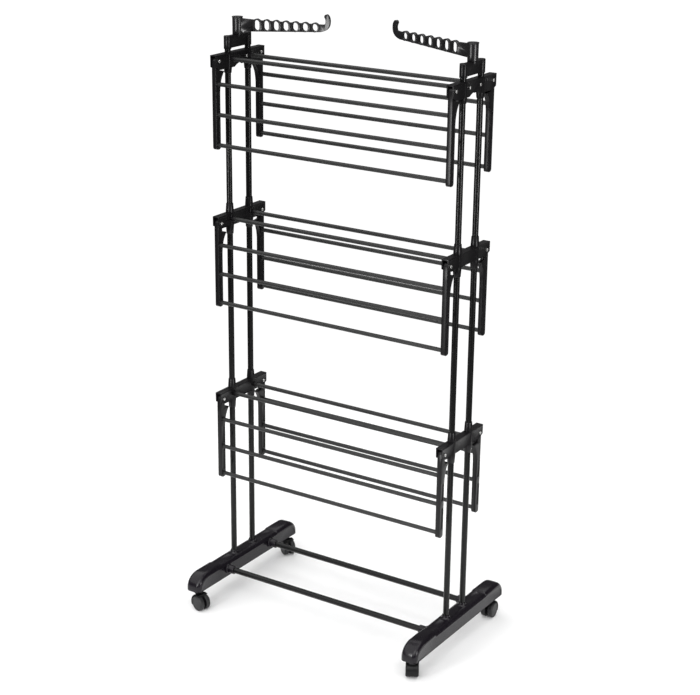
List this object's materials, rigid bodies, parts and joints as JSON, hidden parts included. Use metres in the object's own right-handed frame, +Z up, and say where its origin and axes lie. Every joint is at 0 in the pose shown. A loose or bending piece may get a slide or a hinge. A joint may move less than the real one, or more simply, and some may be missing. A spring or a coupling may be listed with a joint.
{
  "type": "clothes drying rack",
  "caption": "Rolling three-tier clothes drying rack with fold-down wing shelves, swivelling hanger arms at both ends and swivel casters.",
  "frame": {"origin": "on the floor, at the middle of the rack's footprint", "axes": "+X along the hanging rods towards the right-hand end, +Y from front to back, +Z up"},
  "size_m": [0.747, 0.48, 1.6463],
  "materials": {
    "foot_plastic": "gloss black moulding",
    "cover_plastic": "fine grained black",
    "coated_tube": "satin black powder coat",
    "coated_rod": "satin black powder coat",
    "joiner_steel": "plain drawn tube",
    "bracket_plastic": "semi-gloss black moulding",
    "wing_plastic": "semi-gloss black moulding",
    "hanger_plastic": "semi-gloss black moulding",
    "caster_plastic": "matte black moulding",
    "wheel_plastic": "satin black moulding",
    "zinc_steel": "bright zinc plate",
    "axle_steel": "bright drawn rod"
  },
  "bodies": {
    "frame": {"base_bars": "coated_tube", "bottom_bracket_left": "bracket_plastic", "bottom_bracket_right": "bracket_plastic", "bottom_fixed_rods": "coated_rod", "bracket_bolts": "zinc_steel", "foot_cover_left": "cover_plastic", "foot_cover_right": "cover_plastic", "foot_left": "foot_plastic", "foot_right": "foot_plastic", "hanger_screws": "zinc_steel", "head_left": "hanger_plastic", "head_right": "hanger_plastic", "hinge_pins": "zinc_steel", "lower_uprights_left": "coated_tube", "lower_uprights_right": "coated_tube", "middle_bracket_left": "bracket_plastic", "middle_bracket_right": "bracket_plastic", "middle_fixed_rods": "coated_rod", "middle_uprights_left": "coated_tube", "middle_uprights_right": "coated_tube", "top_bracket_left": "bracket_plastic", "top_bracket_right": "bracket_plastic", "top_fixed_rods": "coated_rod", "upper_uprights_left": "coated_tube", "upper_uprights_right": "coated_tube", "upright_joiners": "joiner_steel"},
    "bottom_back_wing": {"bottom_back_arm_left": "wing_plastic", "bottom_back_arm_right": "wing_plastic", "bottom_back_rods": "coated_rod"},
    "bottom_front_wing": {"bottom_front_arm_left": "wing_plastic", "bottom_front_arm_right": "wing_plastic", "bottom_front_rods": "coated_rod"},
    "caster_back_left_swivel": {"caster_back_left_axle": "axle_steel", "caster_back_left_housing": "caster_plastic"},
    "caster_back_left_wheel_pair": {"caster_back_left_wheels": "wheel_plastic"},
    "caster_back_right_swivel": {"caster_back_right_axle": "axle_steel", "caster_back_right_housing": "caster_plastic"},
    "caster_back_right_wheel_pair": {"caster_back_right_wheels": "wheel_plastic"},
    "caster_front_left_swivel": {"caster_front_left_axle": "axle_steel", "caster_front_left_housing": "caster_plastic"},
    "caster_front_left_wheel_pair": {"caster_front_left_wheels": "wheel_plastic"},
    "caster_front_right_swivel": {"caster_front_right_axle": "axle_steel", "caster_front_right_housing": "caster_plastic"},
    "caster_front_right_wheel_pair": {"caster_front_right_wheels": "wheel_plastic"},
    "hanger_left": {"hanger_arm_left": "hanger_plastic", "hanger_cap_left": "hanger_plastic"},
    "hanger_right": {"hanger_arm_right": "hanger_plastic", "hanger_cap_right": "hanger_plastic"},
    "middle_back_wing": {"middle_back_arm_left": "wing_plastic", "middle_back_arm_right": "wing_plastic", "middle_back_rods": "coated_rod"},
    "middle_front_wing": {"middle_front_arm_left": "wing_plastic", "middle_front_arm_right": "wing_plastic", "middle_front_rods": "coated_rod"},
    "top_back_wing": {"top_back_arm_left": "wing_plastic", "top_back_arm_right": "wing_plastic", "top_back_rods": "coated_rod"},
    "top_front_wing": {"top_front_arm_left": "wing_plastic", "top_front_arm_right": "wing_plastic", "top_front_rods": "coated_rod"}
  },
  "joints": [
    {"name": "top_front_wing_hinge", "type": "hinge", "parent": "frame", "child": "top_front_wing", "pos_m": [0, -0.092, 1.519], "axis": [-1, 0, 0], "range_deg": [0, 90]},
    {"name": "top_back_wing_hinge", "type": "hinge", "parent": "frame", "child": "top_back_wing", "pos_m": [0, 0.092, 1.519], "axis": [1, 0, 0], "range_deg": [0, 90]},
    {"name": "middle_front_wing_hinge", "type": "hinge", "parent": "frame", "child": "middle_front_wing", "pos_m": [0, -0.092, 1.088], "axis": [-1, 0, 0], "range_deg": [0, 90]},
    {"name": "middle_back_wing_hinge", "type": "hinge", "parent": "frame", "child": "middle_back_wing", "pos_m": [0, 0.092, 1.088], "axis": [1, 0, 0], "range_deg": [0, 90]},
    {"name": "bottom_front_wing_hinge", "type": "hinge", "parent": "frame", "child": "bottom_front_wing", "pos_m": [0, -0.092, 0.589], "axis": [-1, 0, 0], "range_deg": [0, 90]},
    {"name": "bottom_back_wing_hinge", "type": "hinge", "parent": "frame", "child": "bottom_back_wing", "pos_m": [0, 0.092, 0.589], "axis": [1, 0, 0], "range_deg": [0, 90]},
    {"name": "hanger_left_swivel", "type": "hinge", "parent": "frame", "child": "hanger_left", "pos_m": [-0.35, 0, 1.578], "axis": [0, 0, 1], "continuous": true},
    {"name": "hanger_right_swivel", "type": "hinge", "parent": "frame", "child": "hanger_right", "pos_m": [0.35, 0, 1.578], "axis": [0, 0, 1], "continuous": true},
    {"name": "caster_front_left_swivel_joint", "type": "hinge", "parent": "frame", "child": "caster_front_left_swivel", "pos_m": [-0.35, -0.214, 0.059], "axis": [0, 0, 1], "continuous": true},
    {"name": "caster_front_left_roll", "type": "hinge", "parent": "caster_front_left_swivel", "child": "caster_front_left_wheel_pair", "pos_m": [-0.33654, -0.21786, 0.022], "axis": [0.2756, 0.9613, 0], "continuous": true},
    {"name": "caster_back_left_swivel_joint", "type": "hinge", "parent": "frame", "child": "caster_back_left_swivel", "pos_m": [-0.35, 0.214, 0.059], "axis": [0, 0, 1], "continuous": true},
    {"name": "caster_back_left_roll", "type": "hinge", "parent": "caster_back_left_swivel", "child": "caster_back_left_wheel_pair", "pos_m": [-0.33813, 0.20658, 0.022], "axis": [0.5299, 0.848, 0], "continuous": true},
    {"name": "caster_front_right_swivel_joint", "type": "hinge", "parent": "frame", "child": "caster_front_right_swivel", "pos_m": [0.35, -0.214, 0.059], "axis": [0, 0, 1], "continuous": true},
    {"name": "caster_front_right_roll", "type": "hinge", "parent": "caster_front_right_swivel", "child": "caster_front_right_wheel_pair", "pos_m": [0.343, -0.20188, 0.022], "axis": [-0.866, -0.5, 0], "continuous": true},
    {"name": "caster_back_right_swivel_joint", "type": "hinge", "parent": "frame", "child": "caster_back_right_swivel", "pos_m": [0.35, 0.214, 0.059], "axis": [0, 0, 1], "continuous": true},
    {"name": "caster_back_right_roll", "type": "hinge", "parent": "caster_back_right_swivel", "child": "caster_back_right_wheel_pair", "pos_m": [0.35122, 0.20005, 0.022], "axis": [0.9962, 0.0872, 0], "continuous": true}
  ]
}
